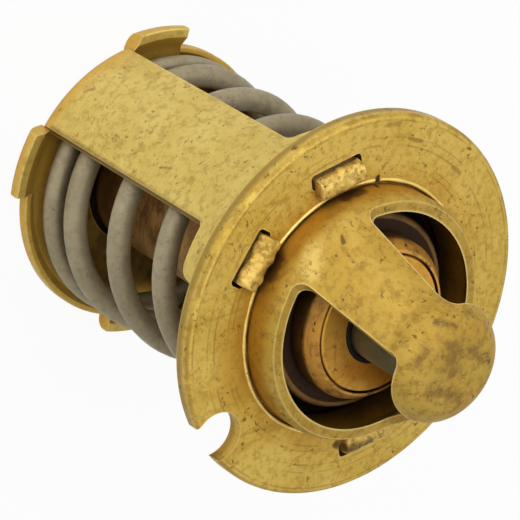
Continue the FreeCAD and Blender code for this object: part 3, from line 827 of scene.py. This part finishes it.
@dataclass
class SubAssembly:
    """Base of the sub-assemblies: dresses its nodes and adds pieces."""

    frame: dict
    finishes: Finishes
    title: str = "sub-assembly"
    dressed: tuple[tuple[Node, Finish], ...] = ()

    def build(self) -> None:
        """Gives each node its finish."""
        for node, finish in self.dressed:
            slots = self.frame["nodes"][node.value].data.materials
            slots.clear()
            slots.append(self.finishes.get(finish))
            LOG.info("%s: %s is %s", self.title, node.value, finish.name)

    def add(self, mesh: bpy.types.Mesh, finish: Finish, slot: str = "brass"
            ) -> bpy.types.Object:
        """Adds a piece that rides on the housing.

        Args:
            mesh: The piece's mesh, which also gives its name.
            finish: Its finish.
            slot: The record's material slot; not used.

        Returns:
            The piece.
        """
        piece = bpy.data.objects.new(mesh.name, mesh)
        bpy.context.scene.collection.objects.link(piece)
        mesh.materials.append(self.finishes.get(finish))
        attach(piece, HOUSING)
        LOG.info("%s: %s has %d faces", self.title, mesh.name, len(mesh.polygons))
        return piece


@dataclass
class Pressings(SubAssembly):
    """Flange plate, bridge and cage."""

    title: str = "pressings"
    dressed: tuple[tuple[Node, Finish], ...] = (
        (Node.FLANGE_PLATE, FLANGE_BRASS), (Node.BRIDGE, BRIDGE_BRASS), (Node.CAGE, CAGE_BRASS))


@dataclass
class WaxElement(SubAssembly):
    """Valve plate, capsule and what is in it, and the rod."""

    title: str = "wax element"
    dressed: tuple[tuple[Node, Finish], ...] = (
        (Node.VALVE_PLATE, PLATE_BRASS), (Node.CAPSULE_CUP, CAPSULE_METAL),
        (Node.ELEMENT_HEAD, HEAD_METAL), (Node.ROD, ROD_STEEL), (Node.ROD_WIPER, RUBBER),
        (Node.RUBBER_BOOT, RUBBER), (Node.CHAFE_WASHER, WASHER_PLASTIC), (Node.WAX_CHARGE, WAX))


@dataclass
class FlangeSeam(SubAssembly):
    """Burr round the flange's hole and the dried residue between it and the bridge."""

    title: str = "flange seam"
    stations: int = 360
    lip_radius: float = 11.60
    lip_height: float = 1.40
    lip_size: float = 0.16
    lip_sides: int = 10
    lip_flatness: float = 0.8
    lip_swell: float = 0.35
    lip_swell_length: float = 1.1
    lip_sway: float = 0.04
    lip_sway_length: float = 2.5
    lip_sway_shift: Point = (0.0, 0.0, 9.0)
    wall_radius: float = 11.19
    hole_radius: float = 11.47
    residue_foot: float = 0.03
    residue_height: float = 1.08
    residue_crown: float = 0.02
    residue_wave: float = 0.14
    residue_wave_length: float = 1.4
    climb: float = 0.22
    climb_wave: float = 0.18
    climb_wave_length: float = 0.9
    climb_wave_shift: Point = (0.0, 0.0, 5.0)

    def _lip(self, angle: float) -> Section:
        """Gives the burr's section at one angle.

        Args:
            angle: Angle round the axis.

        Returns:
            Radius and height of the section's points, in millimetres.
        """
        place = round_axis(angle, self.lip_radius)
        swell = 1.0 + self.lip_swell * rough_at(place, self.lip_swell_length)
        shift = self.lip_sway * rough_at(place, self.lip_sway_length, self.lip_sway_shift)
        size = self.lip_size * swell
        turns = [math.tau * step / self.lip_sides for step in range(self.lip_sides)]
        return [(self.lip_radius + shift + size * math.cos(turn),
                 self.lip_height + self.lip_flatness * size * math.sin(turn)) for turn in turns]

    def _residue(self, angle: float) -> Section:
        """Gives the residue's section at one angle.

        Args:
            angle: Angle round the axis.

        Returns:
            Radius and height of the section's points, in millimetres.
        """
        place = round_axis(angle, self.wall_radius)
        wave = self.residue_wave * rough_at(place, self.residue_wave_length)
        outer = self.residue_height + wave
        climb = self.climb + self.climb_wave * rough_at(place, self.climb_wave_length,
                                                        self.climb_wave_shift)
        middle = (self.wall_radius + self.hole_radius) / 2
        return [(self.wall_radius, self.residue_foot), (self.hole_radius, self.residue_foot),
                (self.hole_radius, outer), (middle, outer + self.residue_crown),
                (self.wall_radius, outer + climb)]

    def _ring(self, name: str, section: Callable[[float], Section]) -> bpy.types.Mesh:
        """Turns a section round the axis.

        Args:
            name: Name of the mesh.
            section: Gives the section's points for an angle.

        Returns:
            The mesh.
        """
        angles = [math.tau * station / self.stations for station in range(self.stations)]
        rows = [[round_axis(angle, *point) for point in section(angle)] for angle in angles]
        return skin_mesh(name, rows, ring=True)

    def build(self) -> None:
        """Adds the burr and the residue."""
        self.add(self._ring("hole_burr", self._lip), BURR_BRASS)
        self.add(self._ring("seam_residue", self._residue), RESIDUE)


@dataclass
class HammeredTabs(SubAssembly):
    """Hammered skin on the folded ends of the cage's four tabs."""

    title: str = "hammered tabs"
    angles: tuple[float, ...] = (-21.0, 24.0, 156.0, 204.0)
    half_width: float = 2.36
    stations: int = 64
    end_share: float = 0.93
    end_narrowing: float = 0.75
    lump: float = 0.80
    lump_height: float = 0.19
    dent: float = 0.34
    dent_height: float = 0.07
    dent_shift: Point = (7.0, 0.0, 0.0)
    skin: float = 0.08
    deepest: float = -0.09
    outline: tuple[tuple[float, float], ...] = (
        (12.02, 1.45), (12.02, 1.60), (12.02, 1.78), (12.03, 1.95), (12.08, 2.12),
        (12.20, 2.26), (12.38, 2.31), (12.56, 2.32), (12.75, 2.32), (12.94, 2.32),
        (13.12, 2.31), (13.30, 2.26), (13.46, 2.18), (13.60, 2.06), (13.71, 1.90),
        (13.78, 1.72), (13.80, 1.52), (13.80, 1.30), (13.10, 1.25), (12.50, 1.30),
    )
    core: tuple[float, float] = (12.90, 1.75)

    def _row(self, share: float, turn: Matrix) -> list[Vector]:
        """Gives one row of a tab's skin.

        Args:
            share: Place along the tab's width, -1 at one end and 1 at the other.
            turn: Turn from the tab at angle zero to this tab.

        Returns:
            The points in millimetres.
        """
        past = max(0.0, (abs(share) - self.end_share) / (1 - self.end_share))
        size = math.sqrt(max(0.0, 1 - self.end_narrowing * past * past))
        middle = Vector((self.core[0], share * self.half_width, self.core[1]))
        row = []
        for radius, height in self.outline:
            away = Vector((radius - self.core[0], 0.0, height - self.core[1]))
            point = turn @ (middle + away * size)
            rise = (self.lump_height * rough_at(point, self.lump)
                    + self.dent_height * rough_at(point, self.dent, self.dent_shift))
            out = (turn @ away).normalized()
            row.append(point + out * (self.skin + max(self.deepest, rise)))
        return row

    def build(self) -> None:
        """Adds the skins."""
        shares = [2 * station / self.stations - 1 for station in range(self.stations + 1)]
        for number, angle in enumerate(self.angles, start=1):
            turn = Matrix.Rotation(math.radians(angle), 3, "Z")
            rows = [self._row(share, turn) for share in shares]
            self.add(skin_mesh(f"hammered_tab_{number}", rows), HAMMERED_BRASS)


@dataclass
class CoilSpring(SubAssembly):
    """Coil of round wire, built at its rest length; the real coil shortens as the valve opens."""

    title: str = "spring"
    dressed: tuple[tuple[Node, Finish], ...] = ((Node.SPRING, SPRING_WIRE),)
    joint: str = "valve_slide"
    wire_radius: float = 1.05
    coil_radius: float = 11.35
    low: float = -27.95
    high: float = -2.65
    cage_floor: float = -29.05
    start_angle: float = 40.0
    climb: tuple[tuple[float, float], ...] = (
        (-0.42, 0.0), (0.5, 0.072), (1.0, 0.151), (3.0, 0.681), (4.1, 1.0), (4.55, 1.0))
    easing: float = 0.15
    easing_steps: int = 9
    heading_step: float = 0.002
    stations_per_turn: int = 64
    sides: int = 28
    chamfer: float = 0.15

    def _share(self, turns: float) -> float:
        """Gives the share of the climb reached after a number of turns.

        Args:
            turns: Turns from the start angle.

        Returns:
            The share, 0 to 1.
        """
        for (low, low_share), (high, high_share) in zip(self.climb, self.climb[1:]):
            if turns <= high:
                past = max(0.0, turns - low) / (high - low)
                return low_share + (high_share - low_share) * past
        return self.climb[-1][1]

    def _centre(self, turns: float) -> Vector:
        """Gives the wire's centre, with each change of pitch spread over a part of a turn.

        Args:
            turns: Turns from the start angle.

        Returns:
            The centre in millimetres.
        """
        shifts = [self.easing * (2 * step / (self.easing_steps - 1) - 1)
                  for step in range(self.easing_steps)]
        share = sum(self._share(turns + shift) for shift in shifts) / len(shifts)
        return round_axis(math.radians(self.start_angle) + math.tau * turns, self.coil_radius,
                          self.low + (self.high - self.low) * share)

    def _row(self, turns: float, radius: float) -> list[Vector]:
        """Gives a ring of points round the wire.

        Args:
            turns: Turns from the start angle.
            radius: Radius of the ring.

        Returns:
            The points in millimetres.
        """
        centre = self._centre(turns)
        ahead = self._centre(turns + self.heading_step)
        way = (ahead - self._centre(turns - self.heading_step)).normalized()
        across = way.cross(Vector((centre.x, centre.y, 0.0))).normalized()
        outward = across.cross(way)
        angles = [math.tau * side / self.sides for side in range(self.sides)]
        return [centre + outward * (radius * math.cos(angle)) + across * (radius * math.sin(angle))
                for angle in angles]

    def _wire(self) -> bpy.types.Mesh:
        """Makes the wire with chamfered ends.

        Returns:
            The mesh.
        """
        first, last = self.climb[0][0], self.climb[-1][0]
        count = math.ceil((last - first) * self.stations_per_turn)
        bevel = self.chamfer / (math.tau * self.coil_radius)
        turns = [first + bevel + (last - first - 2 * bevel) * index / count
                 for index in range(count + 1)]
        tip = self.wire_radius - self.chamfer
        return skin_mesh("coil_wire", [self._row(first, tip)]
                         + [self._row(turn, self.wire_radius) for turn in turns]
                         + [self._row(last, tip)])

    def build(self) -> None:
        """Puts the wire in the place of its node, which it hides."""
        super().build()
        wire = self.add(self._wire(), SPRING_WIRE, "spring_steel")
        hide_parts(Node.SPRING.value)
        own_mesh(wire)


@dataclass
class ProductCamera:
    """Camera that sees the part as the photograph does."""

    aim: Point = (1.48 * MM, 1.34 * MM, -9.25 * MM)
    azimuth: float = 19.31
    elevation: float = 44.86
    roll: float = 121.87
    distance: float = 303.5 * MM
    lens: float = 242.74
    sensor: float = 36.0
    nearest: float = 1 * MM
    farthest: float = 10.0

    def build(self) -> None:
        """Places the camera."""
        elevation, roll = math.radians(self.elevation), math.radians(self.roll)
        back = round_axis(math.radians(self.azimuth), math.cos(elevation), math.sin(elevation))
        level = Vector((0.0, 0.0, 1.0)).cross(back).normalized()
        right = level * math.cos(roll) + back.cross(level) * math.sin(roll)
        turn = Matrix((right, back.cross(right), back)).transposed()
        data = bpy.data.cameras.new("product_camera")
        data.lens = self.lens
        data.sensor_width = self.sensor
        data.clip_start = self.nearest
        data.clip_end = self.farthest
        camera = bpy.data.objects.new("product_camera", data)
        place = Vector(self.aim) + back * self.distance
        camera.matrix_world = Matrix.Translation(place) @ turn.to_4x4()
        bpy.context.scene.collection.objects.link(camera)
        bpy.context.scene.camera = camera


@dataclass(frozen=True)
class SoftBox:
    """One square studio lamp, aimed at the part."""

    name: str
    place: Point
    size: float
    watts: float

    def build(self, target: Vector) -> None:
        """Adds the lamp.

        Args:
            target: The point that it is aimed at.
        """
        data = bpy.data.lights.new(self.name, "AREA")
        data.shape = "SQUARE"
        data.size = self.size
        data.energy = self.watts
        lamp = bpy.data.objects.new(self.name, data)
        place = Vector(self.place)
        turn = (place - target).to_track_quat("Z", "Y").to_matrix().to_4x4()
        lamp.matrix_world = Matrix.Translation(place) @ turn
        bpy.context.scene.collection.objects.link(lamp)


@dataclass
class Studio:
    """Pale floor, soft lamps and a white surround."""

    floor_size: float = 3.0
    floor_colour: Rgb = (0.86, 0.86, 0.86)
    floor_glow: float = 0.94
    covered_radius: float = 12.0 * MM
    covered_full: float = 10.8 * MM
    painted_shadow_colour: Rgb = (0.05, 0.035, 0.02)
    world_light: float = 0.30
    lamps: tuple[SoftBox, ...] = (
        SoftBox("key_lamp", (0.55, 0.02, 0.02), size=0.80, watts=3.6),
        SoftBox("top_lamp", (0.18, -0.12, 0.60), size=0.90, watts=3.4),
    )

    @staticmethod
    def _seen_directly(sheet: NodeSheet) -> Socket:
        """Makes a mask of the rays that show the surround itself.

        Args:
            sheet: The tree to add it to.

        Returns:
            1 for camera, glossy and transmission rays, otherwise 0.
        """
        path = sheet.add("LightPath").outputs
        mirrored = sheet.math("MAXIMUM", path["Is Glossy Ray"], path["Is Transmission Ray"])
        return sheet.math("MAXIMUM", path["Is Camera Ray"], mirrored)

    def _world(self) -> None:
        """Makes the surround white to the eye and softer as a light."""
        world = bpy.data.worlds.new("surround")
        world.use_nodes = True
        world.node_tree.nodes.clear()
        bpy.context.scene.world = world
        sheet = NodeSheet(world.node_tree)
        soft, white = (sheet.add("Background", {"Strength": strength}).outputs[0]
                       for strength in (self.world_light, 1.0))
        seen = sheet.blend(self._seen_directly(sheet), soft, white)
        sheet.add("OutputWorld", {0: seen})

    def _floor_material(self) -> bpy.types.Material:
        """Makes the floor pale, with a painted shadow under the part, and white to the eye
        elsewhere.

        Returns:
            The material.
        """
        material = bpy.data.materials.new("studio_floor")
        material.use_nodes = True
        material.node_tree.nodes.clear()
        sheet = NodeSheet(material.node_tree)
        place = sheet.add("TexCoord").outputs["Object"]
        from_axis = sheet.measure("LENGTH", sheet.stretch(place, (1.0, 1.0, 0.0)))
        open_floor = sheet.ramp(from_axis, self.covered_full, self.covered_radius)
        # Painted shadow: the floor turns dark where the part covers it.
        colour = sheet.mix(open_floor, opaque(self.painted_shadow_colour), opaque(self.floor_colour))
        matt = sheet.add("BsdfDiffuse", {"Color": colour}).outputs[0]
        glow = sheet.add("Emission", {"Strength": 1.0}).outputs[0]
        lit = sheet.math("MULTIPLY", self._seen_directly(sheet), self.floor_glow)
        floor = sheet.blend(sheet.math("MULTIPLY", lit, open_floor), matt, glow)
        sheet.add("OutputMaterial", {0: floor})
        return material

    def _floor(self, height: float) -> None:
        """Lays the floor under the part.

        Args:
            height: Height of the floor.
        """
        half = self.floor_size / 2
        mesh = bpy.data.meshes.new("studio_floor")
        mesh.from_pydata([(-half, -half, height), (half, -half, height), (half, half, height),
                          (-half, half, height)], [], [(0, 1, 2, 3)])
        mesh.materials.append(self._floor_material())
        floor = bpy.data.objects.new("studio_floor", mesh)
        bpy.context.scene.collection.objects.link(floor)
        floor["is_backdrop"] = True

    def build(self, lowest: float) -> None:
        """Builds the studio.

        Args:
            lowest: Height of the part's lowest point.
        """
        self._world()
        self._floor(lowest)
        for lamp in self.lamps:
            lamp.build(Vector(ProductCamera.aim))
        bpy.context.scene.view_settings.view_transform = "Standard"


def plain_box(bounds: tuple[Vector, Vector]) -> list[list[float]]:
    """Turns a box's lowest and highest corner into plain lists."""
    return [[float(value) for value in corner] for corner in bounds]


def main() -> None:
    """Loads the frame, dresses every piece, and sets up the studio and the camera."""
    logging.basicConfig(level=logging.INFO, format="%(name)s: %(message)s")
    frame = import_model()
    packed_box = plain_box(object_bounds())
    finishes = Finishes()
    for assembly in (Pressings, FlangeSeam, HammeredTabs, CoilSpring, WaxElement):
        assembly(frame, finishes).build()
    Studio().build(packed_box[0][2])
    ProductCamera().build()


if __name__ == "__main__":
    main()
